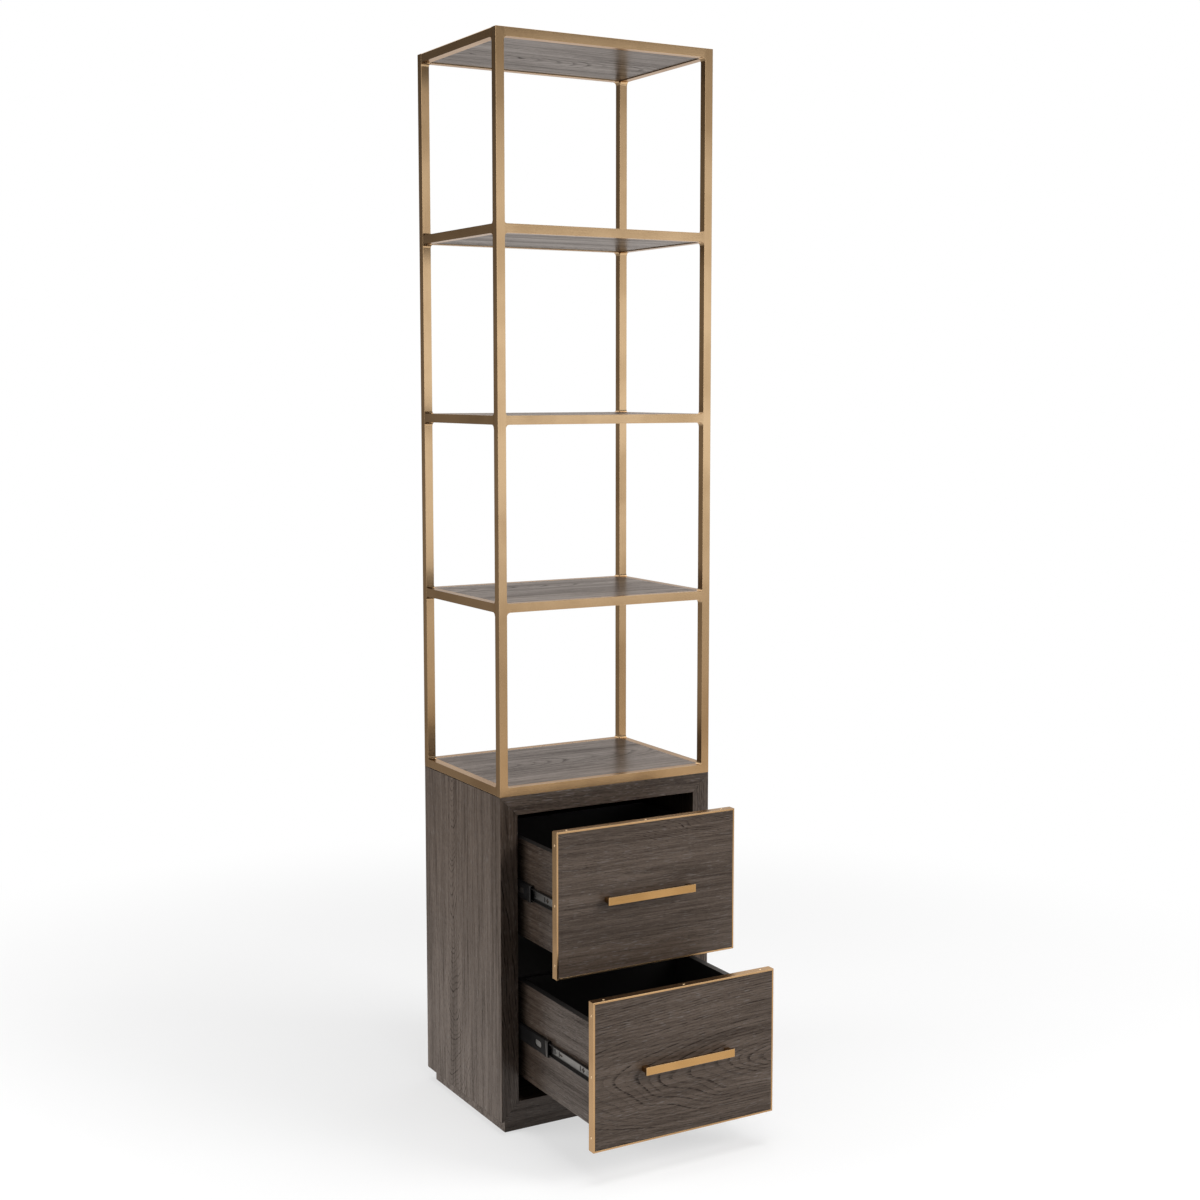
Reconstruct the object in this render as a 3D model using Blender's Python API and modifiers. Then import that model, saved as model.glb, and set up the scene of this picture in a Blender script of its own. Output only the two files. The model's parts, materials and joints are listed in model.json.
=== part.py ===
"""Display cabinet: an open brass-finished shelving tower on an oak base with two drawers.

Units are metres and +Z is up. The front faces -Y, and the origin is on the floor under the
middle of the plinth. Both drawers stand partly open, each by its own named distance.
"""
import math

import bmesh
import bpy

# Whole cabinet
WIDTH = 0.550
DEPTH = 0.400
FIT_GAP = 0.0003

# Tower of square tube
TUBE = 0.020
TUBE_EDGE = 0.0018
LEVELS = 5
LEVEL_RISE = 0.411
WELD_UNDER_RAIL = 0.008
WELD_OVER_RAIL = 0.005
SHELF_THICKNESS = 0.018

# Base
PLINTH_HEIGHT = 0.030
PLINTH_INSET = 0.015
CARCASS_HEIGHT = 0.746
CARCASS_BOARD = 0.043
BACK_THICKNESS = 0.008
BACK_INSET = 0.006
BOARD_EDGE = 0.0010

# Drawer fronts and their metal edge strips
FRONT_GAP = 0.0025
FRONT_THICKNESS = 0.020
STRIP_THICKNESS = 0.004
STRIP_EDGE = 0.0005

# How far each drawer stands short of full extension
UPPER_RESERVE = 0.173
LOWER_RESERVE = 0.014

# Drawer boxes
BOX_HEIGHT = 0.222
BOX_DROP = 0.0025
BOX_BOARD = 0.015
BOX_CLEARANCE = 0.0137
BOTTOM_THICKNESS = 0.006
BOTTOM_LIFT = 0.012
GROOVE_DEPTH = 0.006

# Handles
HANDLE_LENGTH = 0.225
HANDLE_HEIGHT = 0.018
HANDLE_THICKNESS = 0.006
HANDLE_EDGE = 0.0006
STANDOFF_REACH = 0.016
STANDOFF_WIDTH = 0.012
STANDOFF_INSET = 0.002

# Telescopic ball-bearing slides
SLIDE_THICKNESS = 0.0127
SLIDE_HEIGHT = 0.0455
SLIDE_SETBACK = 0.002
SLIDE_STEEL = 0.0012
BALL_SPACE = 0.0034
BALL_ROW_WIDTH = 0.0034
BEND_RADIUS = 0.0016
MEMBER_GAP = 0.0008
MIDDLE_SETBACK = 0.016
SLOT_HEIGHT = 0.0045
ACCESS_HEIGHT = 0.015
ACCESS_LENGTH = 0.030
ACCESS_SETBACK = 0.026
SLOT_STEPS = 6

# Roundness of bends, welds, ball rows and edges
ARC_STEPS = 4
EDGE_SEGMENTS = 2
SHARP_ANGLE = math.radians(40)
MERGE_DISTANCE = 0.00001

# Places worked out from the sizes above
CARCASS_BASE = PLINTH_HEIGHT + FIT_GAP
CARCASS_TOP = CARCASS_BASE + CARCASS_HEIGHT
TOWER_BASE = CARCASS_TOP + FIT_GAP
TOWER_TOP = TOWER_BASE + TUBE + (LEVELS - 1) * LEVEL_RISE
FRONT_PLANE = -DEPTH / 2
BACK_PLANE = DEPTH / 2
OPENING_WIDTH = WIDTH - 2 * CARCASS_BOARD
OPENING_HEIGHT = CARCASS_HEIGHT - 2 * CARCASS_BOARD
FRONT_WIDTH = OPENING_WIDTH - 2 * FRONT_GAP
FRONT_HEIGHT = (OPENING_HEIGHT - 3 * FRONT_GAP) / 2
BOX_WIDTH = OPENING_WIDTH - 2 * SLIDE_THICKNESS
BOX_START = FRONT_THICKNESS + FIT_GAP
BOX_LENGTH = DEPTH - BACK_INSET - BACK_THICKNESS - BOX_CLEARANCE - BOX_START
SLIDE_START = FRONT_THICKNESS + SLIDE_SETBACK
SLIDE_LENGTH = BOX_LENGTH - SLIDE_SETBACK
MIDDLE_LENGTH = SLIDE_LENGTH - 2 * MIDDLE_SETBACK
UPPER_OPEN = SLIDE_LENGTH - UPPER_RESERVE
LOWER_OPEN = SLIDE_LENGTH - LOWER_RESERVE

# Places across a slide, measured from the carcass wall
CABINET_WEB = FIT_GAP + SLIDE_STEEL / 2
MIDDLE_WEB = FIT_GAP + SLIDE_STEEL + MEMBER_GAP
DRAWER_WEB = SLIDE_THICKNESS - FIT_GAP - SLIDE_STEEL / 2
DRAWER_FLANGE_TIP = MIDDLE_WEB + SLIDE_STEEL + MEMBER_GAP
OUTER_FLANGE_TIP = DRAWER_WEB - SLIDE_STEEL / 2 - MEMBER_GAP

# Screw slots along a slide member's web, and the hole in the middle member's web that lets a screwdriver
# reach the cabinet member behind it: distance behind the front end, and length
SCREW_SLOTS = (
    (0.016, 0.0045),
    (0.030, 0.0120),
    (0.128, 0.0120),
    (0.150, 0.0045),
    (0.176, 0.0120),
    (0.270, 0.0120),
    (0.330, 0.0045),
)
ACCESS_HOLE = ((ACCESS_SETBACK, ACCESS_LENGTH),)


def clear_scene():
    """Remove whatever objects the scene holds."""
    for item in list(bpy.data.objects):
        bpy.data.objects.remove(item, do_unlink=True)


def new_collection(name):
    """Make a collection in the scene."""
    collection = bpy.data.collections.new(name)
    bpy.context.scene.collection.children.link(collection)
    return collection


def new_material(name, colour, roughness, metallic):
    """Make a plain Principled material."""
    material = bpy.data.materials.new(name)
    material.use_nodes = True
    shader = material.node_tree.nodes["Principled BSDF"]
    shader.inputs["Base Color"].default_value = (*colour, 1.0)
    shader.inputs["Roughness"].default_value = roughness
    shader.inputs["Metallic"].default_value = metallic
    material.diffuse_color = (*colour, 1.0)
    return material


def add_object(name, data, material, location=(0, 0, 0), parent=None):
    """Link a mesh as one named piece, at a place in its parent's frame."""
    piece = bpy.data.objects.new(name, data)
    PARTS.objects.link(piece)
    piece.location = location
    piece.parent = parent
    data.materials.append(material)
    return piece


def make_cutter(piece):
    """Keep a piece only as a tool for shaping another one."""
    for collection in piece.users_collection:
        collection.objects.unlink(piece)
    CUTTERS.objects.link(piece)
    piece.hide_render = True
    piece.display_type = "WIRE"


def joint_empty(name, location):
    """An empty on a slide's axis, which carries the pieces that move along it."""
    empty = bpy.data.objects.new(name, None)
    PARTS.objects.link(empty)
    empty.location = location
    empty.empty_display_size = TUBE
    return empty


def mesh_from(bm, name):
    """Turn a finished bmesh into a mesh with outward faces, smooth but for its sharp edges."""
    bmesh.ops.recalc_face_normals(bm, faces=bm.faces)
    mesh = bpy.data.meshes.new(name)
    bm.to_mesh(mesh)
    bm.free()
    mesh.shade_smooth()
    mesh.set_sharp_from_angle(angle=SHARP_ANGLE)
    return mesh


def round_edges_along(bm, axis, width):
    """Round the sharp edges that run along one axis."""
    chosen = []
    for edge in bm.edges:
        run = edge.verts[1].co - edge.verts[0].co
        across = run.length - abs(run[axis])
        if across < MERGE_DISTANCE and edge.calc_face_angle(0.0) > SHARP_ANGLE:
            chosen.append(edge)
    bmesh.ops.bevel(bm, geom=chosen, offset=width, segments=EDGE_SEGMENTS, profile=0.5, affect="EDGES")


def block(name, low, high, material, parent=None, rounded=None, edge=0.0):
    """A rectangular piece between two corners; rounded names the axis of its rounded edges."""
    size = [b - a for a, b in zip(low, high)]
    centre = [(a + b) / 2 for a, b in zip(low, high)]
    bm = bmesh.new()
    bmesh.ops.create_cube(bm, size=1.0)
    bmesh.ops.scale(bm, vec=size, verts=bm.verts)
    if rounded is not None:
        round_edges_along(bm, rounded, edge)
    return add_object(name, mesh_from(bm, name), material, centre, parent)


def extruded(name, outlines, depth):
    """A bmesh of flat (x, z) outlines, extruded by a depth along Y and centred on Y = 0."""
    curve = bpy.data.curves.new(name, "CURVE")
    curve.dimensions = "2D"
    curve.fill_mode = "BOTH"
    curve.extrude = depth / 2
    for points in outlines:
        spline = curve.splines.new("POLY")
        spline.points.add(len(points) - 1)
        for point, (x, z) in zip(spline.points, points):
            point.co = (x, z, 0.0, 1.0)
        spline.use_cyclic_u = True
    sketch = bpy.data.objects.new(name, curve)
    CUTTERS.objects.link(sketch)
    sketch.rotation_euler = (math.pi / 2, 0, 0)
    bpy.context.view_layer.update()
    graph = bpy.context.evaluated_depsgraph_get()
    mesh = bpy.data.meshes.new_from_object(sketch.evaluated_get(graph))
    bm = bmesh.new()
    bm.from_mesh(mesh)
    bm.transform(sketch.matrix_world)
    bmesh.ops.remove_doubles(bm, verts=bm.verts, dist=MERGE_DISTANCE)
    bpy.data.meshes.remove(mesh)
    bpy.data.objects.remove(sketch, do_unlink=True)
    bpy.data.curves.remove(curve)
    return bm


def add_prism(bm, low, high):
    """Close two matching rings of points, one at each end, into a prism."""
    ends = [[bm.verts.new(point) for point in ring] for ring in (low, high)]
    for ring in ends:
        bm.faces.new(ring)
    for index in range(len(low)):
        after = (index + 1) % len(low)
        bm.faces.new((ends[0][index], ends[1][index], ends[1][after], ends[0][after]))


def add_bevel(piece, width):
    """Round every sharp edge of a piece."""
    bevel = piece.modifiers.new("Rounded edges", "BEVEL")
    bevel.width = width
    bevel.segments = EDGE_SEGMENTS
    bevel.limit_method = "ANGLE"
    bevel.angle_limit = SHARP_ANGLE


def arc(centre, radius, start, end, steps):
    """Points on an arc, from start to end in degrees."""
    points = []
    for step in range(steps + 1):
        angle = math.radians(start + (end - start) * step / steps)
        points.append((centre[0] + radius * math.cos(angle), centre[1] + radius * math.sin(angle)))
    return points


def window_outline(low, high):
    """The outline of a ladder's window, in (x, z), with its corners filled by welds."""
    under = WELD_UNDER_RAIL
    over = WELD_OVER_RAIL
    points = arc((high[0] - under, high[1] - under), under, 0, 90, ARC_STEPS)
    points += arc((low[0] + under, high[1] - under), under, 90, 180, ARC_STEPS)
    points += arc((low[0] + over, low[1] + over), over, 180, 270, ARC_STEPS)
    return points + arc((high[0] - over, low[1] + over), over, 270, 360, ARC_STEPS)


def side_rail_outline(reach, low, high, weld_under, weld_over):
    """A side rail in (y, z), with welds at its ends wherever the posts run on."""
    under = WELD_UNDER_RAIL
    over = WELD_OVER_RAIL
    points = [(-reach, low), (reach, low)]
    if weld_under:
        points = arc((-reach + under, low - under), under, 180, 90, ARC_STEPS)
        points += arc((reach - under, low - under), under, 90, 0, ARC_STEPS)
    if weld_over:
        points += arc((reach - over, high + over), over, 0, -90, ARC_STEPS)
        points += arc((-reach + over, high + over), over, -90, -180, ARC_STEPS)
    else:
        points += [(reach, high), (-reach, high)]
    return points


def mitred_outlines(width, height, thickness):
    """Outlines of four bars, mitred round a rectangle that is centred on the origin."""
    w = width / 2
    h = height / 2
    t = thickness
    gap = FIT_GAP * math.sqrt(2)
    upright = [(-w, -h + gap), (-w + t, -h + t + gap), (-w + t, h - t - gap), (-w, h - gap)]
    level = [(-w, -h), (w, -h), (w - t, -h + t), (-w + t, -h + t)]
    return {
        "left": upright,
        "right": [(-x, z) for x, z in reversed(upright)],
        "bottom": level,
        "top": [(x, -z) for x, z in reversed(level)],
    }


def mitred_bars(prefix, size, thickness, depth, centre, material, edge, parent=None):
    """Four mitred bars round a rectangle, each a piece of its own."""
    for side, points in mitred_outlines(size[0], size[1], thickness).items():
        name = prefix + side
        bm = extruded(name, [points], depth)
        round_edges_along(bm, 2 if side in ("left", "right") else 0, edge)
        add_object(name, mesh_from(bm, name), material, centre, parent)


# Tower


def level_top(level):
    """Height of the upper face of a level's rails; level 0 is the lowest."""
    return TOWER_BASE + TUBE + level * LEVEL_RISE


def build_ladder(name, centre_y):
    """Two posts and a rail on every level, welded into one ladder."""
    half = WIDTH / 2
    outlines = [[(-half, TOWER_BASE), (half, TOWER_BASE), (half, TOWER_TOP), (-half, TOWER_TOP)]]
    for level in range(LEVELS - 1):
        low = (-half + TUBE, level_top(level))
        high = (half - TUBE, level_top(level + 1) - TUBE)
        outlines.append(window_outline(low, high))
    bm = extruded(name, outlines, TUBE)
    ladder = add_object(name, mesh_from(bm, name), BRASS, (0, centre_y, 0))
    add_bevel(ladder, TUBE_EDGE)


def build_side_rail(name, outer, level, reach):
    """A tube between the ladders, rounded along its length, with its welds left square."""
    top = level_top(level)
    outline = side_rail_outline(reach, top - TUBE, top, level > 0, level < LEVELS - 1)
    bm = bmesh.new()
    add_prism(bm, [(outer, y, z) for y, z in outline], [(outer + TUBE, y, z) for y, z in outline])
    bmesh.ops.recalc_face_normals(bm, faces=bm.faces)
    round_edges_along(bm, 1, TUBE_EDGE)
    add_object(name, mesh_from(bm, name), BRASS)


def build_tower():
    """Front and back ladders, the side rails between them and the shelf panels."""
    build_ladder("front_ladder_frame", FRONT_PLANE + TUBE / 2)
    build_ladder("back_ladder_frame", BACK_PLANE - TUBE / 2)
    reach = DEPTH / 2 - TUBE - FIT_GAP
    half = WIDTH / 2
    inner = half - TUBE - FIT_GAP
    for level in range(LEVELS):
        top = level_top(level)
        number = str(level + 1)
        for side, outer in (("left", -half), ("right", half - TUBE)):
            build_side_rail(side + "_side_rail_" + number, outer, level, reach)
        low = (-inner, -reach, top - SHELF_THICKNESS)
        block("shelf_panel_" + number, low, (inner, reach, top), OAK, rounded=0, edge=BOARD_EDGE)


# Base


def build_base():
    """Plinth, four mitred carcass boards and the back panel."""
    x = WIDTH / 2 - PLINTH_INSET
    y = DEPTH / 2 - PLINTH_INSET
    block("plinth", (-x, -y, 0), (x, y, PLINTH_HEIGHT), OAK, rounded=2, edge=BOARD_EDGE)
    centre = (0, 0, CARCASS_BASE + CARCASS_HEIGHT / 2)
    size = (WIDTH, CARCASS_HEIGHT)
    mitred_bars("carcass_", size, CARCASS_BOARD, DEPTH, centre, OAK, BOARD_EDGE)
    x = OPENING_WIDTH / 2 - FIT_GAP
    back = BACK_PLANE - BACK_INSET
    low = (-x, back - BACK_THICKNESS, CARCASS_BASE + CARCASS_BOARD + FIT_GAP)
    high = (x, back, CARCASS_TOP - CARCASS_BOARD - FIT_GAP)
    block("carcass_back", low, high, BLACK)


# Slides
# Slide sections are drawn in (u, w): u runs from the carcass wall to the drawer, w is up from mid-height.


def offset_strip(path, thickness):
    """The closed outline of a bent steel strip, from the line through its middle."""
    one_side = []
    other_side = []
    for index, point in enumerate(path):
        before = path[max(index - 1, 0)]
        after = path[min(index + 1, len(path) - 1)]
        normals = []
        for start, end in ((before, point), (point, after)):
            length = math.dist(start, end)
            if length > 0:
                normals.append(((start[1] - end[1]) / length, (end[0] - start[0]) / length))
        nx = sum(n[0] for n in normals) / len(normals)
        ny = sum(n[1] for n in normals) / len(normals)
        reach = thickness / 2 / (nx * nx + ny * ny)
        one_side.append((point[0] + nx * reach, point[1] + ny * reach))
        other_side.append((point[0] - nx * reach, point[1] - ny * reach))
    return one_side + other_side[::-1]


def mirrored_section(upper):
    """A section from its upper half, which runs from the web to the flange and back."""
    return upper + [(u, -w) for u, w in reversed(upper)]


def cabinet_section():
    """Channel on the carcass wall, with lips that keep the outer ball rows in."""
    half = SLIDE_STEEL / 2
    flange = SLIDE_HEIGHT / 2 - half
    lip = OUTER_FLANGE_TIP - half
    lip_end = SLIDE_HEIGHT / 2 - SLIDE_STEEL - BALL_SPACE / 2
    bend = flange - BEND_RADIUS
    upper = [(lip, lip_end)]
    upper += arc((lip - BEND_RADIUS, bend), BEND_RADIUS, 0, 90, ARC_STEPS)
    upper += arc((CABINET_WEB + BEND_RADIUS, bend), BEND_RADIUS, 90, 180, ARC_STEPS)
    return offset_strip(mirrored_section(upper), SLIDE_STEEL)


def drawer_section():
    """Channel on the drawer side, which opens towards the carcass."""
    flange = SLIDE_HEIGHT / 2 - 2 * (SLIDE_STEEL + BALL_SPACE) - SLIDE_STEEL / 2
    upper = [(DRAWER_FLANGE_TIP, flange)]
    upper += arc((DRAWER_WEB - BEND_RADIUS, flange - BEND_RADIUS), BEND_RADIUS, 90, 0, ARC_STEPS)
    return offset_strip(mirrored_section(upper), SLIDE_STEEL)


def ball_row(u, w, reach):
    """Half-round points of a ball row that stands on a flange; reach is negative below it."""
    points = []
    for step in range(ARC_STEPS + 1):
        angle = math.pi * step / ARC_STEPS
        points.append((u + BALL_ROW_WIDTH / 2 * math.cos(angle), w + reach * math.sin(angle)))
    return points


def middle_section():
    """Channel between the other two, with the ball rows that run in their flanges."""
    outside = SLIDE_HEIGHT / 2 - SLIDE_STEEL - BALL_SPACE
    inside = outside - SLIDE_STEEL
    reach = BALL_SPACE - FIT_GAP
    inner_face = MIDDLE_WEB + SLIDE_STEEL
    row = (inner_face + OUTER_FLANGE_TIP) / 2
    bend = (MIDDLE_WEB + BEND_RADIUS, outside - BEND_RADIUS)
    upper = arc(bend, BEND_RADIUS, 180, 90, ARC_STEPS)
    upper += reversed(ball_row(row, outside, reach))
    upper += [(OUTER_FLANGE_TIP, outside), (OUTER_FLANGE_TIP, inside)]
    upper += ball_row(row, inside, -reach)
    upper += [(bend[0], inside), (inner_face, bend[1])]
    return mirrored_section(upper)


def slot_outline(start, length, height):
    """A slot with round ends, in (y, w), from its distance behind the member's front end."""
    radius = height / 2
    front = arc((start + radius, 0), radius, 90, 270, SLOT_STEPS)
    return front + arc((start + length - radius, 0), radius, 270, 450, SLOT_STEPS)


def slot_cutter(name, places, height, u):
    """Round-ended cutters through a member's web, in the member's own frame."""
    bm = bmesh.new()
    reach = 2 * SLIDE_STEEL
    for start, length in places:
        outline = slot_outline(start, length, height)
        add_prism(bm, [(u - reach, y, w) for y, w in outline], [(u + reach, y, w) for y, w in outline])
    bmesh.ops.remove_doubles(bm, verts=bm.verts, dist=MERGE_DISTANCE)
    cutter = bpy.data.objects.new(name, mesh_from(bm, name))
    make_cutter(cutter)
    return cutter


def cut_mesh(bm, cutter):
    """Cut a member with a cutter and give back the finished mesh."""
    solid = bpy.data.objects.new(cutter.name + "_blank", mesh_from(bm, cutter.name + "_blank"))
    CUTTERS.objects.link(solid)
    cut = solid.modifiers.new("Slots", "BOOLEAN")
    cut.operation = "DIFFERENCE"
    cut.object = cutter
    bpy.context.view_layer.update()
    graph = bpy.context.evaluated_depsgraph_get()
    mesh = bpy.data.meshes.new_from_object(solid.evaluated_get(graph))
    bpy.data.objects.remove(solid, do_unlink=True)
    return mesh


def member_mesh(name, section, side, length, slots, height, web):
    """A slide member's mesh: its front end is at Y = 0, the carcass wall at X = 0."""
    bm = bmesh.new()
    add_prism(bm, [(side * u, 0, w) for u, w in section], [(side * u, length, w) for u, w in section])
    places = [place for place in slots if sum(place) < length - SLOT_HEIGHT]
    return cut_mesh(bm, slot_cutter(name + "_slots", places, height, side * web))


def build_slides(drawer, drawer_axis, middle_axis, height):
    """A left and a right slide: the cabinet member is fixed, the other two move."""
    for side_name, side in (("left", 1), ("right", -1)):
        wall = -side * OPENING_WIDTH / 2
        name = drawer + "_" + side_name + "_slide_cabinet_member"
        mesh = member_mesh(name, cabinet_section(), side, SLIDE_LENGTH, SCREW_SLOTS, SLOT_HEIGHT, CABINET_WEB)
        add_object(name, mesh, BLACK_STEEL, (wall, FRONT_PLANE + SLIDE_START, height - BOX_DROP))
        name = drawer + "_" + side_name + "_slide_middle_member"
        web = MIDDLE_WEB + SLIDE_STEEL / 2
        mesh = member_mesh(name, middle_section(), side, MIDDLE_LENGTH, ACCESS_HOLE, ACCESS_HEIGHT, web)
        add_object(name, mesh, BLACK_STEEL, (wall, 0, -BOX_DROP), middle_axis)
        name = drawer + "_" + side_name + "_slide_drawer_member"
        mesh = member_mesh(name, drawer_section(), side, SLIDE_LENGTH, SCREW_SLOTS, SLOT_HEIGHT, DRAWER_WEB)
        add_object(name, mesh, STEEL, (wall, SLIDE_START, -BOX_DROP), drawer_axis)


# Drawers
# A drawer is built in its own frame: Y = 0 on the face of its front, Z = 0 at mid-height of its front.


def grooved_side(name, side, parent):
    """A box side with the groove that holds the drawer bottom."""
    outer = BOX_WIDTH / 2
    inner = outer - BOX_BOARD
    low = -BOX_DROP - BOX_HEIGHT / 2
    high = low + BOX_HEIGHT
    groove = low + BOTTOM_LIFT - FIT_GAP
    groove_top = low + BOTTOM_LIFT + BOTTOM_THICKNESS + FIT_GAP
    floor = inner + GROOVE_DEPTH
    points = [
        (outer, low),
        (outer, high),
        (inner, high),
        (inner, groove_top),
        (floor, groove_top),
        (floor, groove),
        (inner, groove),
        (inner, low),
    ]
    if side == "left":
        points = [(-x, z) for x, z in reversed(points)]
    bm = extruded(name, [points], BOX_LENGTH)
    centre = (0, BOX_START + BOX_LENGTH / 2, 0)
    add_object(name, mesh_from(bm, name), OAK, centre, parent)


def build_box(name, parent):
    """Two grooved sides, an inner front and a back that stand on the bottom."""
    for side in ("left", "right"):
        grooved_side(name + "_box_" + side, side, parent)
    inner = BOX_WIDTH / 2 - BOX_BOARD
    low = -BOX_DROP - BOX_HEIGHT / 2
    high = low + BOX_HEIGHT
    end = BOX_START + BOX_LENGTH
    reach = inner + GROOVE_DEPTH - FIT_GAP
    bottom = low + BOTTOM_LIFT
    bottom_top = bottom + BOTTOM_THICKNESS
    block(name + "_box_bottom", (-reach, BOX_START, bottom), (reach, end, bottom_top), BLACK, parent)
    x = inner - FIT_GAP
    z = bottom_top + FIT_GAP
    block(name + "_box_front", (-x, BOX_START, z), (x, BOX_START + BOX_BOARD, high), BLACK, parent)
    block(name + "_box_back", (-x, end - BOX_BOARD, z), (x, end, high), BLACK, parent)


def build_handle(name, parent):
    """A flat bar on two standoffs, welded into one handle."""
    half = HANDLE_LENGTH / 2
    face = -FIT_GAP - STANDOFF_REACH - HANDLE_THICKNESS
    low = (-half, face, -HANDLE_HEIGHT / 2)
    high = (half, face + HANDLE_THICKNESS, HANDLE_HEIGHT / 2)
    handle = block(name + "_handle", low, high, BRASS, parent)
    for side, place in (("left", -half + STANDOFF_INSET), ("right", half - STANDOFF_INSET - STANDOFF_WIDTH)):
        low = (place, face + HANDLE_THICKNESS / 2, -STANDOFF_WIDTH / 2)
        high = (place + STANDOFF_WIDTH, -FIT_GAP, STANDOFF_WIDTH / 2)
        post = block(name + "_handle_standoff_" + side, low, high, BRASS, parent)
        make_cutter(post)
        weld = handle.modifiers.new("Weld " + side, "BOOLEAN")
        weld.operation = "UNION"
        weld.object = post
    add_bevel(handle, HANDLE_EDGE)


def build_drawer(name, opened, height):
    """One drawer, standing open by a distance, with its front centred at a height."""
    axis = joint_empty(name + "_drawer_axis", (0, FRONT_PLANE - opened, height))
    middle_y = FRONT_PLANE + SLIDE_START + MIDDLE_SETBACK - opened / 2
    middle_axis = joint_empty(name + "_middle_axis", (0, middle_y, height))
    x = FRONT_WIDTH / 2 - STRIP_THICKNESS - FIT_GAP
    z = FRONT_HEIGHT / 2 - STRIP_THICKNESS - FIT_GAP
    block(name + "_drawer_front", (-x, 0, -z), (x, FRONT_THICKNESS, z), OAK, axis)
    centre = (0, FRONT_THICKNESS / 2, 0)
    size = (FRONT_WIDTH, FRONT_HEIGHT)
    mitred_bars(name + "_strip_", size, STRIP_THICKNESS, FRONT_THICKNESS, centre, BRASS, STRIP_EDGE, axis)
    build_box(name, axis)
    build_handle(name, axis)
    build_slides(name, axis, middle_axis, height)


def build_drawers():
    """The upper and the lower drawer, inset in the carcass opening."""
    opening_base = CARCASS_BASE + CARCASS_BOARD
    lower = opening_base + FRONT_GAP + FRONT_HEIGHT / 2
    upper = lower + FRONT_HEIGHT + FRONT_GAP
    build_drawer("upper", UPPER_OPEN, upper)
    build_drawer("lower", LOWER_OPEN, lower)


clear_scene()
PARTS = new_collection("display_cabinet")
CUTTERS = new_collection("cutters")
BRASS = new_material("brushed_brass", (0.52, 0.33, 0.15), 0.36, 1.0)
OAK = new_material("dark_oak", (0.055, 0.040, 0.031), 0.55, 0.0)
BLACK = new_material("black_lining", (0.010, 0.010, 0.010), 0.60, 0.0)
STEEL = new_material("zinc_steel", (0.48, 0.47, 0.45), 0.38, 1.0)
BLACK_STEEL = new_material("black_steel", (0.020, 0.020, 0.021), 0.42, 0.6)
build_tower()
build_base()
build_drawers()
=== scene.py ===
# %% [markdown]
# # A display cabinet of brass tube and dark oak
#
# An open tower of square brass tube carries five oak shelves and stands on an oak base with two drawers.
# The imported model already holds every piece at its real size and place. This script gives those pieces
# their looks, adds the small hardware that the solids leave out, and sets up a plain studio.
#
# Loading comes first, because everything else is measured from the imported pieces.

import json
import math

import bmesh
import bpy
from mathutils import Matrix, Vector


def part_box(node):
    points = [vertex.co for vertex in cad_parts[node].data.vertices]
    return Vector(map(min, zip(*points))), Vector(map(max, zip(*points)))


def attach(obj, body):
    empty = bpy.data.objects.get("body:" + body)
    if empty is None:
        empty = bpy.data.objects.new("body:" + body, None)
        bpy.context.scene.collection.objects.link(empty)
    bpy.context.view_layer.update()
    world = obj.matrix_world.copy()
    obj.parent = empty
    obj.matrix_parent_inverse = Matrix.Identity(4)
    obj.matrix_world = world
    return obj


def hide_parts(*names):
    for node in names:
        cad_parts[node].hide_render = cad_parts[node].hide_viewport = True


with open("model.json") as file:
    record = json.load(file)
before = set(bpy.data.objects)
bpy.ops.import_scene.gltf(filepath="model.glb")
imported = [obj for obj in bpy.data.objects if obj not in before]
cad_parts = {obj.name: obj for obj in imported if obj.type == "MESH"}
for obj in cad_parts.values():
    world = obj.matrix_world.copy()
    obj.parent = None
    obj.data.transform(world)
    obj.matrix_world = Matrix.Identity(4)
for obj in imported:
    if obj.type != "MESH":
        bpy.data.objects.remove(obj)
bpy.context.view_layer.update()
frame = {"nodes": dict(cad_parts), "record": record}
body_of = {}
for body, members in frame["record"]["behaviour"]["bodies"].items():
    for node in members:
        body_of[node] = body

# %% [markdown]
# ## Sizes that the looks depend on
#
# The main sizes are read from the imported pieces: the tube's size is the depth of the front ladder, and
# so on. If the solids change, these follow.

# %% Read the main sizes
X, Y, Z = 0, 1, 2
ladder_low, ladder_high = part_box("front_ladder_frame")
cabinet_width = ladder_high.x - ladder_low.x
tube = ladder_high.y - ladder_low.y
print("tube", round(tube, 4), "on a cabinet", round(cabinet_width, 3), "wide")

# %% [markdown]
# ## Shader maths as plain expressions
#
# A material in Blender is a tree of nodes. Written out node by node, a formula such as 1 - mask takes
# several lines. The class below wraps one socket, so that arithmetic on it adds the Math nodes. Its node
# method adds any other node: settings first, then the values or links of its sockets.


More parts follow.
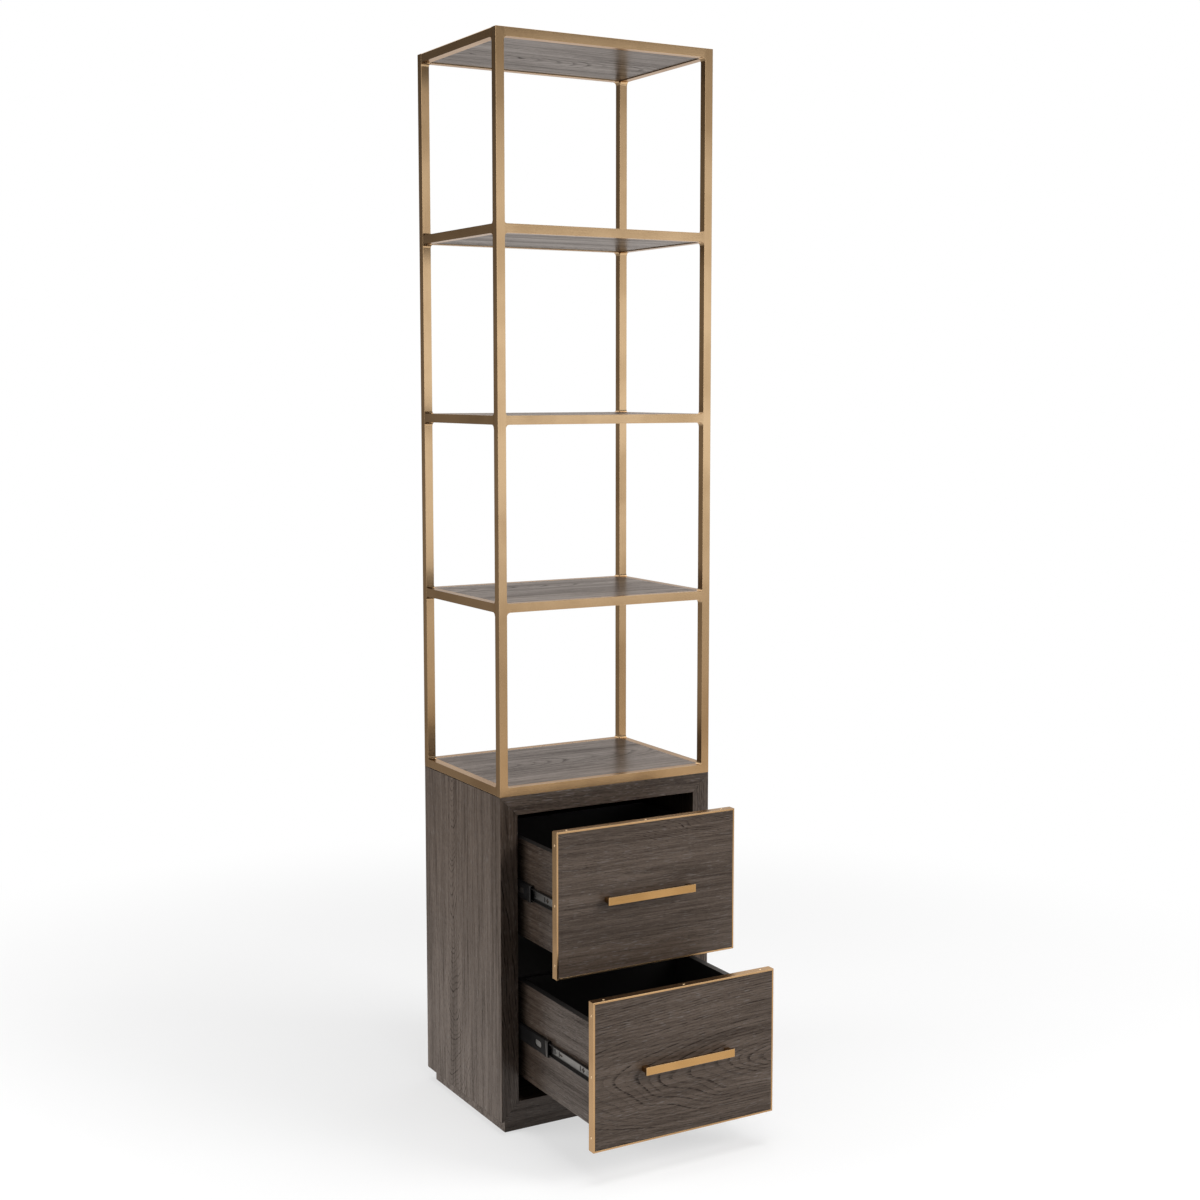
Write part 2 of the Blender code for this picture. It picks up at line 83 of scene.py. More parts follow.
# %% A socket that can be calculated with
class Wire:
    """One output socket of a node tree, with arithmetic that adds Math nodes."""

    def __init__(self, tree, socket=None):
        self.tree = tree
        self.socket = socket

    def node(self, kind, settings=None, inputs=None, output=0):
        """Add a node of any kind and give back one of its outputs."""
        made = self.tree.nodes.new(kind)
        for name, value in (settings or {}).items():
            setattr(made, name, value)
        for key, value in (inputs or {}).items():
            if isinstance(value, Wire):
                self.tree.links.new(value.socket, made.inputs[key])
            else:
                made.inputs[key].default_value = value
        return Wire(self.tree, made.outputs[output] if made.outputs else None)

    def also(self, output):
        """Another output of the node that this one comes from."""
        return Wire(self.tree, self.socket.node.outputs[output])

    def attribute(self, name, output="Fac"):
        """An attribute that the mesh carries."""
        return self.node("ShaderNodeAttribute", {"attribute_name": name}, None, output)

    def place(self):
        """The place of a point in its object, in metres."""
        return self.node("ShaderNodeTexCoord", None, None, "Object")

    def math(self, operation, *values):
        """A Math node whose first value is this socket."""
        return self.node("ShaderNodeMath", {"operation": operation}, dict(enumerate((self, *values))))

    def __add__(self, other):
        return self.math("ADD", other)

    __radd__ = __add__

    def __sub__(self, other):
        return self.math("SUBTRACT", other)

    def __rsub__(self, other):
        return self.node("ShaderNodeMath", {"operation": "SUBTRACT"}, {0: other, 1: self})

    def __mul__(self, other):
        return self.math("MULTIPLY", other)

    __rmul__ = __mul__

    def __truediv__(self, other):
        return self.math("DIVIDE", other)

    def __abs__(self):
        return self.math("ABSOLUTE")

    def step(self, low, high):
        """0 below low and 1 above high, with a smooth rise between them."""
        inputs = {"Value": self, "From Min": low, "From Max": high}
        return self.node("ShaderNodeMapRange", {"interpolation_type": "SMOOTHSTEP"}, inputs)

    def mix(self, first, second):
        """Two colours mixed, with this socket as the share of the second."""
        settings = {"data_type": "RGBA", "clamp_factor": True}
        return self.node("ShaderNodeMix", settings, {0: self, 6: first, 7: second}, 2)

    def noise(self, scales, detail=2.0, roughness=0.5, shift=0.0):
        """Noise on this vector between 0 and 1, with one scale for all axes or one for each."""
        if isinstance(scales, float):
            scales = (scales, scales, scales)
        inputs = {0: self, 1: scales, 2: (shift, shift, shift)}
        stretched = self.node("ShaderNodeVectorMath", {"operation": "MULTIPLY_ADD"}, inputs)
        settings = {"noise_dimensions": "3D", "normalize": True}
        inputs = {"Vector": stretched, "Scale": 1.0, "Detail": detail, "Roughness": roughness}
        return self.node("ShaderNodeTexNoise", settings, inputs)


# %% A new material and its shader
def new_material(name):
    """An empty material, with a wire to build its tree from."""
    material = bpy.data.materials.new(name)
    material.use_nodes = True
    material.node_tree.nodes.clear()
    return material, Wire(material.node_tree)


def finish_material(start, sockets, bump=None, bump_distance=0.0):
    """Close a material's tree with a Principled shader, and a bump where there is one."""
    if bump is not None:
        height = {"Height": bump, "Strength": 1.0, "Distance": bump_distance}
        sockets = {**sockets, "Normal": start.node("ShaderNodeBump", None, height)}
    shader = start.node("ShaderNodeBsdfPrincipled", None, sockets)
    start.node("ShaderNodeOutputMaterial", None, {"Surface": shader})


print("shader helpers ready")

# %% [markdown]
# ## Dark stained oak
#
# The shelves, the base and the drawer fronts are oak veneer, stained dark and finished with a satin
# lacquer. Sawn flat, oak shows nested arches where the saw meets the growth rings at a slant, and
# straight lines at the board's edges. Both come from one solid: thin rings round the middle of the tree,
# which lies a hand's breadth behind the face and leans to it. So the figure is calculated, not drawn: a
# distance from that line, cut into yearly rings. Each ring starts with a band of large pores, which the
# stain turns into short dark dashes, and no two years are equally dark. Long streaks lie over it, and a
# few pale flecks: partly pale filled grain and partly a painted highlight, where light would catch it.
#
# Every board carries four attributes. One, called grain, holds metres along, across and through the
# board, from the middle of its arches. Another, called rings, is the number of rings in a metre. The
# third, called board, is a number that gives each board noise of its own. The last says how much darker
# each face is painted: painted shade on the front faces of the base, and on the drawer box sides partly
# a darker stain and partly painted shade.

# %% Oak
RING_LEAN = 0.15
OAK_DARK = (0.056, 0.0395, 0.0295, 1.0)
OAK_LIGHT = (0.126, 0.0925, 0.0705, 1.0)
OAK_PORE = (0.0105, 0.0070, 0.0054, 1.0)
# The pale flecks: partly filled grain, partly a painted highlight
OAK_PALE_AND_HIGHLIGHT = (0.245, 0.225, 0.214, 1.0)
OAK_RELIEF = 0.00045
SWAY_BESIDE = 0.050
SWAY_BELOW = 0.032
RIPPLE_REACH = 0.0028
# How often each figure changes in a metre, along the fibres and across them
SWAY = (3.2, 7.0)
RIPPLE = (9.0, 40.0)
FIBRE = (6.0, 250.0)
STREAK = (2.4, 75.0)
BAND = (1.4, 20.0)
DASH = (26.0, 330.0)
PORE = (110.0, 1250.0)
FLECK = (46.0, 480.0)


def dark_oak(name):
    """Stained and lacquered oak, with the rings, streaks and pores of one tree."""
    material, start = new_material(name)
    grain = start.attribute("grain", "Vector")
    board = start.attribute("board")
    wood = start.node("ShaderNodeVectorMath", {"operation": "ADD"}, {0: grain, 1: board})
    along = start.node("ShaderNodeSeparateXYZ", None, {0: grain}, "X")
    across = along.also("Y")
    through = along.also("Z")

    def figure(pace, detail, roughness=0.5, shift=0.0):
        """Noise that is drawn out along the fibres."""
        return wood.noise((pace[0], pace[1], pace[1]), detail, roughness, shift)

    sway = (figure(SWAY, 2.0) - 0.5) * (1 - 0.8 * abs(across).step(0.06, 0.20))
    ripple = figure(RIPPLE, 2.0, shift=3.7) - 0.5
    beside = across + SWAY_BESIDE * sway
    below = through + RING_LEAN * along + SWAY_BELOW * sway
    radius = (beside * beside + below * below).math("SQRT") + RIPPLE_REACH * ripple
    age = radius * start.attribute("rings")
    year = start.node("ShaderNodeTexWhiteNoise", {"noise_dimensions": "1D"}, {"W": age.math("FLOOR")})
    early_wood = (1 - age.math("FRACT").step(0.08, 0.45)) * (0.35 + 0.65 * year.step(0.20, 0.90))
    fibre = figure(FIBRE, 3.0, 0.66)
    streaks = figure(STREAK, 2.0, 0.6, shift=2.3)
    band = figure(BAND, 2.0, shift=11.0)
    dashes = figure(DASH, 2.0, 0.6, shift=7.0).step(0.42, 0.58)
    pores = figure(PORE, 1.0, shift=5.0).step(0.52, 0.66)
    flecks = figure(FLECK, 1.0, shift=9.0).step(0.61, 0.70)
    light = (0.44 * fibre + 0.30 * streaks + 0.26 * band).step(0.36, 0.64) * (1 - 0.30 * early_wood)
    dark = 0.90 * dashes * early_wood + 0.28 * pores
    # The fourth attribute darkens faces towards the pore colour: painted shade on the base's fronts,
    # partly darker stain and partly painted shade on the box sides
    stained = (dark + start.attribute("soaked")).mix(light.mix(OAK_DARK, OAK_LIGHT), OAK_PORE)
    # Pale flecks: partly filled grain, partly a painted highlight
    colour = (flecks * band * (0.6 - 0.5 * early_wood)).mix(stained, OAK_PALE_AND_HIGHLIGHT)
    height = 0.5 * fibre - dark
    sockets = {
        "Base Color": colour,
        "Roughness": 0.52 + 0.20 * dark,
        "Specular IOR Level": 0.0,
        "Coat Weight": 0.56 + 0.58 * light - 0.52 * dark,
        "Coat Roughness": 0.30,
        "Coat IOR": 1.44,
    }
    finish_material(start, sockets, height, OAK_RELIEF)
    return material


oak = dark_oak("dark_oak")
print("made", oak.name)

# %% [markdown]
# ## Brushed brass
#
# The tower, the edge strips and the handles are brass-finished steel, brushed along their length. A
# brushed surface is a metal with thousands of fine parallel scratches. A noise that is stretched along
# one axis gives such lines, which shift the tone and the roughness a little and tilt the surface by a
# hair. Scratches also blur a reflection more across than along them. The shader's Anisotropic value does
# that: unturned, it blurs level, as upright scratches do, and a quarter turn makes it blur up and down,
# as level ones do. Along the rounded edges, where an attribute called edge is 1, the colour is brighter:
# partly rubbed brass and partly a painted highlight. The handles are a warmer gold than the tube.

# %% Brass
BRASS_COLOUR = (0.550, 0.370, 0.195, 1.0)
BRASS_DEEP = (0.395, 0.252, 0.122, 1.0)
GOLD_COLOUR = (0.550, 0.340, 0.140, 1.0)
GOLD_DEEP = (0.400, 0.237, 0.088, 1.0)
SCREW_COLOUR = (0.900, 0.720, 0.480, 1.0)
SCREW_DEEP = (0.700, 0.530, 0.320, 1.0)
# Brighter brass on the rounded edges: partly rubbed, partly a painted highlight
RUBBED_HIGHLIGHT_COLOUR = (0.700, 0.500, 0.285, 1.0)
GRAZING_TINT = (0.74, 0.74, 0.75, 1.0)
BRUSH_ALONG = 6.0
BRUSH_ACROSS = 1700.0
BRUSH_RELIEF = 0.00006
BRUSH_BLUR = 0.30
QUARTER_TURN = 0.25
CLOUD_SCALE = 7.0
SPOT_SCALE = 240.0


def brushed_brass(name, colour, deep, axis):
    """Satin brass, brushed along an axis."""
    material, start = new_material(name)
    place = start.place()
    scales = [BRUSH_ACROSS] * 3
    scales[axis] = BRUSH_ALONG
    lines = place.noise(scales, 2.0, 0.6)
    cloud = place.noise(CLOUD_SCALE, 3.0)
    spots = place.noise(SPOT_SCALE, 2.0, shift=4.0).step(0.66, 0.78)
    depth = 0.42 * lines + 0.55 * cloud.step(0.30, 0.75) + 0.30 * spots
    satin = depth.step(0.15, 1.10).mix(colour, deep)
    edge = start.attribute("edge")
    sockets = {
        "Base Color": edge.mix(satin, RUBBED_HIGHLIGHT_COLOUR),
        "Metallic": 1.0,
        "Roughness": 0.15 + 0.10 * lines + 0.06 * cloud,
        "Specular Tint": GRAZING_TINT,
        "Anisotropic": BRUSH_BLUR,
        "Anisotropic Rotation": 0.0 if axis == Z else QUARTER_TURN,
    }
    finish_material(start, sockets, lines * (1 - edge), BRUSH_RELIEF)
    return material


brass = []
for axis, letter in zip((X, Y, Z), "xyz"):
    brass.append(brushed_brass("brushed_brass_" + letter, BRASS_COLOUR, BRASS_DEEP, axis))
gold = brushed_brass("brushed_gold", GOLD_COLOUR, GOLD_DEEP, X)
screw_brass = brushed_brass("screw_brass", SCREW_COLOUR, SCREW_DEEP, X)
print("made", gold.name, screw_brass.name, "and", len(brass), "brushed brasses")

# %% [markdown]
# ## Black lining
#
# The drawers are lined in black, and the back of the base is black too. Their matt lacquer has a fine
# pebble that keeps it from looking like a hole in the picture.

# %% Lining
LINING_BLACK = (0.0035, 0.0033, 0.0032, 1.0)
LINING_RUBBED = (0.0095, 0.0090, 0.0086, 1.0)
PEBBLE_SCALE = 900.0
PEBBLE_RELIEF = 0.00008
RUBBED_SCALE = 9.0


def black_lining(name):
    """Matt black lacquer with a fine pebble and a few rubbed places."""
    material, start = new_material(name)
    place = start.place()
    pebble = place.noise(PEBBLE_SCALE, 1.0)
    rubbed = place.noise(RUBBED_SCALE, 4.0).step(0.52, 0.80)
    colour = (0.7 * rubbed + 0.3 * pebble).mix(LINING_BLACK, LINING_RUBBED)
    sockets = {"Base Color": colour, "Roughness": 0.46 + 0.16 * pebble - 0.08 * rubbed}
    finish_material(start, sockets, pebble, PEBBLE_RELIEF)
    return material


lining = black_lining("black_lining")
print("made", lining.name)

# %% [markdown]
# ## Steel and plastic of the slides
#
# The slides are pressed steel: the channel on the drawer is grey zinc with the cloudy spangle of
# plating, and the others are coated black, with a trace of the oil they run in. Along the zinc's flanges,
# where the balls roll, two dark bands are painted: partly oil and rubbed-off dust, partly painted shade
# in the races. An attribute called race holds a point's height from the middle of its slide, and the
# shader turns it into these bands. Another, called behind, holds its distance from the slide's front end,
# and gives dark upright slots painted on the flat steel: painted shade for the slots that a fitter uses
# to level the drawer and the gap behind them. The end stops are black plastic, with a fine moulded grain.

# %% Zinc-plated steel
ZINC_DULL = (0.204, 0.212, 0.211, 1.0)
ZINC_BRIGHT = (0.320, 0.330, 0.326, 1.0)
# The black of the races, partly oil and partly painted shade, and of the painted slots
OIL_AND_SHADE_BLACK = (0.0060, 0.0058, 0.0056, 1.0)
DRAWN_SCALES = (900.0, 12.0, 900.0)
DRAWN_RELIEF = 0.00004
SPANGLE_SCALES = (90.0, 40.0, 90.0)
RACE_WAVER = 0.0012
RACE_EDGE = (0.0070, 0.0086)
# Where dark slots are painted, as painted shade for openings: metres behind the slide's front
SLOT_PLACES = (0.036, 0.049, 0.143, 0.162, 0.290, 0.303)
SLOT_SIDE = (0.0025, 0.0032)
SLOT_END = (0.0054, 0.0062)


def zinc_steel(name):
    """Pressed zinc-plated steel, drawn along the slide, with bands of oil and painted shade, and painted
    slots.
    """
    material, start = new_material(name)
    place = start.place()
    drawn = place.noise(DRAWN_SCALES, 2.0)
    spangle = place.noise(SPANGLE_SCALES, 2.0, shift=2.0)
    plated = (0.45 * drawn + 0.55 * spangle).step(0.25, 0.75).mix(ZINC_DULL, ZINC_BRIGHT)
    height = start.attribute("race")
    behind = start.attribute("behind")
    # Two dark bands along the flanges: partly oil, partly painted shade in the races
    black = (abs(height) + RACE_WAVER * (spangle - 0.5)).step(*RACE_EDGE)
    # Dark upright slots, painted shade standing for slots and the gap behind them
    for slot in SLOT_PLACES:
        black = black + (1 - abs(behind - slot).step(*SLOT_SIDE)) * (1 - abs(height).step(*SLOT_END))
    sockets = {
        "Base Color": black.mix(plated, OIL_AND_SHADE_BLACK),
        "Metallic": 1 - 0.8 * black,
        "Roughness": 0.30 + 0.16 * spangle,
    }
    finish_material(start, sockets, drawn, DRAWN_RELIEF)
    return material


zinc = zinc_steel("zinc_steel")
print("made", zinc.name)

# %% Black-coated steel and plastic
STEEL_BLACK = (0.0035, 0.0035, 0.0036, 1.0)
STEEL_OILY = (0.0090, 0.0090, 0.0093, 1.0)
FILM_SCALES = (60.0, 14.0, 60.0)
GRIT_SCALE = 1400.0
GRIT_RELIEF = 0.00003
PLASTIC_BLACK = (0.0040, 0.0040, 0.0041, 1.0)
PLASTIC_WORN = (0.0110, 0.0110, 0.0113, 1.0)
WORN_SCALE = 120.0
MOULD_SCALE = 1900.0
MOULD_RELIEF = 0.00004


def black_steel(name):
    """Black-coated steel with a thin film of oil."""
    material, start = new_material(name)
    place = start.place()
    film = place.noise(FILM_SCALES, 3.0)
    grit = place.noise(GRIT_SCALE, 1.0, shift=6.0)
    colour = film.step(0.30, 0.75).mix(STEEL_BLACK, STEEL_OILY)
    sockets = {"Base Color": colour, "Roughness": 0.32 + 0.22 * film, "Specular IOR Level": 0.08}
    finish_material(start, sockets, grit, GRIT_RELIEF)
    return material


def black_plastic(name):
    """Moulded black plastic with a fine grain."""
    material, start = new_material(name)
    place = start.place()
    grain = place.noise(MOULD_SCALE, 2.0)
    worn = place.noise(WORN_SCALE, 2.0, shift=8.0).step(0.45, 0.80)
    colour = worn.mix(PLASTIC_BLACK, PLASTIC_WORN)
    sockets = {"Base Color": colour, "Roughness": 0.13 + 0.12 * grain, "Specular IOR Level": 0.42}
    finish_material(start, sockets, grain, MOULD_RELIEF)
    return material


coated = black_steel("black_steel")
plastic = black_plastic("black_plastic")
print("made", coated.name, plastic.name)

# %% [markdown]
# ## Clean copies of the solids
#
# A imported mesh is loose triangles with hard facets. That is right for a solid, but light shows every
# facet of a rounded edge. Each piece that shows is therefore copied, its triangles merged, and its flat
# faces joined. Shading is smooth except at sharp corners, and a Weighted Normal modifier lets the large
# flat faces keep their own direction, so only the narrow rounded edges catch a highlight.

# %% Copy a solid as a smooth piece
MERGE_DISTANCE = 0.00001
FLAT_ANGLE = math.radians(0.2)
SHARP_ANGLE = math.radians(50)


def smooth_mesh(bm, name):
    """Make a mesh of edited geometry, smooth except at sharp corners."""
    mesh = bpy.data.meshes.new(name)
    bm.to_mesh(mesh)
    bm.free()
    mesh.shade_smooth()
    mesh.set_sharp_from_angle(angle=SHARP_ANGLE)
    return mesh


def merged_mesh(node, reshape=None):
    """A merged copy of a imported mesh, with its flat faces joined; reshape may move its points first."""
    bm = bmesh.new()
    bm.from_mesh(frame["nodes"][node].data)
    bmesh.ops.remove_doubles(bm, verts=bm.verts, dist=MERGE_DISTANCE)
    if reshape:
        for vert in bm.verts:
            reshape(vert.co)
    bmesh.ops.dissolve_limit(bm, angle_limit=FLAT_ANGLE, verts=bm.verts, edges=bm.edges)
    return smooth_mesh(bm, node)


def new_object(name, data):
    """Put a mesh, a lamp or a camera in the scene."""
    made = bpy.data.objects.new(name, data)
    bpy.context.scene.collection.objects.link(made)
    return made


def add_piece(name, mesh, body, slot, *materials):
    """Put a mesh in the scene as a piece that moves with a body."""
    piece = new_object(name, mesh)
    for material in materials:
        mesh.materials.append(material)
    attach(piece, body)
    return piece


def refined(node, slot, *materials, reshape=None):
    """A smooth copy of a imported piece, which stands for it."""
    piece = add_piece(node + "_finish", merged_mesh(node, reshape), body_of[node], slot, *materials)
    shading = piece.modifiers.new("Flat faces keep their direction", "WEIGHTED_NORMAL")
    shading.keep_sharp = True
    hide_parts(node)
    return piece


print("copy helpers ready")

# %% [markdown]
# ## The brass tower, strips and handles
#
# These keep the shapes of their solids, so each is a smooth copy with the brass that is brushed along
# it. A ladder is brushed upright on its posts and level on its rails. Its copy is therefore cut along
# the inner sides of its posts, and each face takes the brass of the tube that it lies on.

# %% Bars and their axes
levels = range(1, 6)
drawers = ("upper", "lower")
# Which way along X the middle of the cabinet lies from each of its sides
inward = {"left": 1, "right": -1}
# The edge strips of a drawer: the axis and the way that each faces, and the axis that it runs along
strips = {"left": (X, -1, Z), "right": (X, 1, Z), "top": (Z, 1, X), "bottom": (Z, -1, X)}
brass_axes = {}
for level in levels:
    for side in inward:
        brass_axes[f"{side}_side_rail_{level}"] = Y
for drawer in drawers:
    for side, (_, _, run) in strips.items():
        brass_axes[f"{drawer}_strip_{side}"] = run
print("straight bars", len(brass_axes))

# %% Finish the brass
FACES_AXIS = 0.995


def write_values(mesh, name, domain, values):
    """Give a mesh an attribute with one number for each of its points or faces."""
    layer = mesh.attributes.new(name, "FLOAT", domain)
    layer.data.foreach_set("value", values)


def mark_edges(mesh):
    """Mark the narrow rounded faces, which face along no axis."""
    marks = [float(max(map(abs, face.normal)) < FACES_AXIS) for face in mesh.polygons]
    write_values(mesh, "edge", "FACE", marks)


def cut_posts(mesh):
    """Cut a ladder along its posts, and pick each face's brass: 0 on a post and 1 on a rail."""
    inner = cabinet_width / 2 - tube
    bm = bmesh.new()
    bm.from_mesh(mesh)
    for x in (-inner, inner):
        geometry = [*bm.verts, *bm.edges, *bm.faces]
        plane = {"plane_co": (x, 0, 0), "plane_no": (1, 0, 0), "dist": MERGE_DISTANCE}
        bmesh.ops.bisect_plane(bm, geom=geometry, **plane)
    for face in bm.faces:
        face.material_index = int(abs(face.calc_center_median().x) < inner)
    bm.to_mesh(mesh)
    bm.free()


brass_data = []
for drawer in drawers:
    brass_data.append(refined(drawer + "_handle", "brass", gold).data)
for node, axis in brass_axes.items():
    brass_data.append(refined(node, "brass", brass[axis]).data)
for node in ("front_ladder_frame", "back_ladder_frame"):
    brass_data.append(refined(node, "brass", brass[Z], brass[X]).data)
    cut_posts(brass_data[-1])
for mesh in brass_data:
    mark_edges(mesh)
print("brass pieces", len(brass_data))

# %% [markdown]
# ## The oak boards
#
# Each board gets its own grain: the axis that the fibres run along, the axis across them on its widest
# face, and where the middle of the tree lies from the middle of the board, along, across and through it.
# A middle beside the board leaves only straight lines on it. The shelves and the lower drawer's front
# come from a faster tree, with wider rings. The front faces of the base are painted darker than its
# other faces: this is painted shade.


# %% Lay the grain of a board
RING_SPACING = 0.0023


def lay_grain(mesh, along, across, arches, number, spacing=RING_SPACING):
    """Write each point's place in the board's grain, the board's number and its rings in a metre."""
    through = X + Y + Z - along - across
    axes = (along, across, through)
    low = [min(vert.co[axis] for vert in mesh.vertices) for axis in axes]
    high = [max(vert.co[axis] for vert in mesh.vertices) for axis in axes]
    values = []
    for vert in mesh.vertices:
        for axis, a, b, shift in zip(axes, low, high, arches):
            values.append(vert.co[axis] - (a + b) / 2 - shift)
    layer = mesh.attributes.new("grain", "FLOAT_VECTOR", "POINT")
    layer.data.foreach_set("vector", values)
    for name, value in (("board", float(number)), ("rings", 1 / spacing)):
        write_values(mesh, name, "POINT", [value] * len(mesh.vertices))


def darken_faces(mesh, share, front_share):
    """Write how much darker each face is painted, stain and shade together, with a share of its own for
    the front.
    """
    shares = [front_share if face.normal.y < -FACES_AXIS else share for face in mesh.polygons]
    write_values(mesh, "soaked", "FACE", shares)


# %% Boards with their grain
SHELF_RING_SPACING = 0.0070
DRAWER_RING_SPACING = 0.0052
# How much painted shade darkens the front faces of the base
FRONT_PAINTED_SHADE = 0.28
ring_spacings = {f"shelf_panel_{level}": SHELF_RING_SPACING for level in levels}
ring_spacings["lower_drawer_front"] = DRAWER_RING_SPACING
boards = {
    "carcass_left": (Z, Y, (0.10, 0.05, 0.060)),
    "carcass_right": (Z, Y, (0.20, -0.06, -0.090)),
    "carcass_top": (X, Y, (0.10, 0.03, -0.240)),
    "carcass_bottom": (X, Y, (-0.10, 0.02, -0.240)),
    "plinth": (X, Y, (0.00, 0.25, -0.060)),
    "upper_drawer_front": (X, Z, (0.05, 0.20, 0.070)),
    "lower_drawer_front": (X, Z, (0.06, -0.03, 0.050)),
    "shelf_panel_1": (X, Y, (0.10, 0.02, -0.070)),
    "shelf_panel_2": (X, Y, (-0.15, 0.10, -0.090)),
    "shelf_panel_3": (X, Y, (0.00, -0.05, -0.080)),
    "shelf_panel_4": (X, Y, (0.20, 0.14, -0.080)),
    "shelf_panel_5": (X, Y, (-0.05, 0.03, -0.060)),
}
for number, (node, (along, across, arches)) in enumerate(boards.items()):
    piece = refined(node, "oak", oak)
    lay_grain(piece.data, along, across, arches, number, ring_spacings.get(node, RING_SPACING))
    # The carcass boards' front faces get painted shade
    front_share = FRONT_PAINTED_SHADE if node.startswith("carcass") else 0.0
    darken_faces(piece.data, 0.0, front_share)
print("oak boards", len(boards))

# %% [markdown]
# ## Drawer boxes
#
# The box sides are veneered on the outside, where they show beside the open drawer, and black on the
# inside and along the top edge. So a side carries two materials, and each face picks one by the way it
# points. This veneer is painted darker all over, partly a darker stain and partly painted shade. The
# other boards of the box and the back of the base are black all over, and their solids stay as they are.

# %% Box sides and hidden boards
OUTWARD = 0.9
# How much darker the box sides are painted: partly a darker stain, partly painted shade
BOX_STAIN_AND_SHADE = 0.36
BOX_ARCHES = (0.02, 0.24, 0.08)
for drawer in drawers:
    for side, way in inward.items():
        piece = refined(f"{drawer}_box_{side}", "oak", lining, oak)
        number += 1
        along, across, inside = BOX_ARCHES
        lay_grain(piece.data, Y, Z, (along, across, inside * way), number)
        darken_faces(piece.data, BOX_STAIN_AND_SHADE, BOX_STAIN_AND_SHADE)
        for face in piece.data.polygons:
            face.material_index = int(face.normal.x * way < -OUTWARD)


def paint_node(node, material):
    """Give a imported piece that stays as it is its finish."""
    data = frame["nodes"][node].data
    data.materials.clear()
    data.materials.append(material)


hidden = ["carcass_back"]
for drawer in drawers:
    hidden += [f"{drawer}_box_{board}" for board in ("front", "back", "bottom")]
for node in hidden:
    paint_node(node, lining)
print("box sides", len(drawers) * len(inward), "black boards", len(hidden))

# %% [markdown]
# ## Places across a slide
#
# A telescopic slide is three nested channels of pressed steel, with two rows of balls between each pair.
# Its parts are easiest to place across the slide: u runs from the carcass wall to the drawer, and w is
# up from the slide's mid-height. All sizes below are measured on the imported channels, so the balls
# always fill the gaps.

# %% Measure the slides
wall = {"left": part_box("carcass_left")[1].x, "right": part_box("carcass_right")[0].x}
slides = [(drawer, side) for drawer in drawers for side in inward]


def slide_node(drawer, side, member):
    """The name of one channel of a slide."""
    return f"{drawer}_{side}_slide_{member}_member"


def slide_height(drawer):
    """The mid-height of a drawer's slides."""
    low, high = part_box(slide_node(drawer, "left", "cabinet"))
    return (low.z + high.z) / 2


def slide_point(drawer, side, u, y, w):
    """A point of the cabinet from its place across a slide."""
    return Vector((wall[side] + inward[side] * u, y, slide_height(drawer) + w))


cabinet_low, cabinet_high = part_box(slide_node("upper", "left", "cabinet"))
middle_low, middle_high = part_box(slide_node("upper", "left", "middle"))
rail_low, rail_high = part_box(slide_node("upper", "left", "drawer"))
tips = []
for vert in frame["nodes"][slide_node("upper", "left", "middle")].data.vertices:
    if middle_high.x - vert.co.x < MERGE_DISTANCE:
        tips.append(abs(vert.co.z - slide_height("upper")))
flange_inside, flange_outside = min(tips), max(tips)
steel = flange_outside - flange_inside
flange_tip = middle_high.x - wall["left"]
outer_race = (cabinet_high.z - cabinet_low.z) / 2 - steel
inner_race = (rail_high.z - rail_low.z) / 2
cabinet_web = cabinet_low.x + steel - wall["left"]
middle_web = middle_low.x + steel - wall["left"]
rail_tip = rail_low.x - wall["left"]
rail_web = rail_high.x - steel - wall["left"]
print("slide steel", round(steel, 4), "ball gaps", round(outer_race - flange_outside, 4))

# %% [markdown]
# ## Slide channels
#
# The channel on the drawer is zinc-plated, and the other two are black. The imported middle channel
# carries each row of balls as one long bead. Here the beads are pressed flat into plain flanges, because
# real balls follow. The zinc channel gets its race and behind attributes.


# %% Channels
def flatten_beads(drawer, side):
    """A function that moves the points of a middle channel's beads onto its flanges."""
    middle = slide_height(drawer)

    def reshape(point):
        height = point.z - middle
        flange = None
        if abs(height) > flange_outside:
            flange = flange_outside
        elif abs(height) < flange_inside and abs(point.x - wall[side]) > rail_tip:
            flange = flange_inside
        if flange:
            point.z = middle + math.copysign(flange, height)

    return reshape


for drawer, side in slides:
    refined(slide_node(drawer, side, "cabinet"), "black_steel", coated)
    pressed = flatten_beads(drawer, side)
    refined(slide_node(drawer, side, "middle"), "black_steel", coated, reshape=pressed)
    mesh = refined(slide_node(drawer, side, "drawer"), "steel", zinc).data
    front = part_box(slide_node(drawer, side, "drawer"))[0].y
    middle = slide_height(drawer)
    write_values(mesh, "race", "POINT", [vert.co.z - middle for vert in mesh.vertices])
    write_values(mesh, "behind", "POINT", [vert.co.y - front for vert in mesh.vertices])
print("slides", len(slides), "of three channels each")

# %% [markdown]
# ## End stops and ball cages
#
# A soft plastic stop clips over the front end of each middle channel. Thin steel cages keep the balls
# apart: one between the middle channel and the drawer's, near the front, and one between the middle
# channel and the carcass's, near the back. All of them are C-shaped sections, so one outline and one
# extrusion make them.


# %% C-shaped sections
ROUNDING_SEGMENTS = 2
ROUND_PROFILE = 0.5


def c_outline(back, tip, reach, web, flange):
    """A C-shaped section in (u, w), open towards the drawer."""
    inside = reach - flange
    lower = [(back, -reach), (tip, -reach), (tip, -inside), (back + web, -inside)]
    return lower + [(u, -w) for u, w in reversed(lower)]


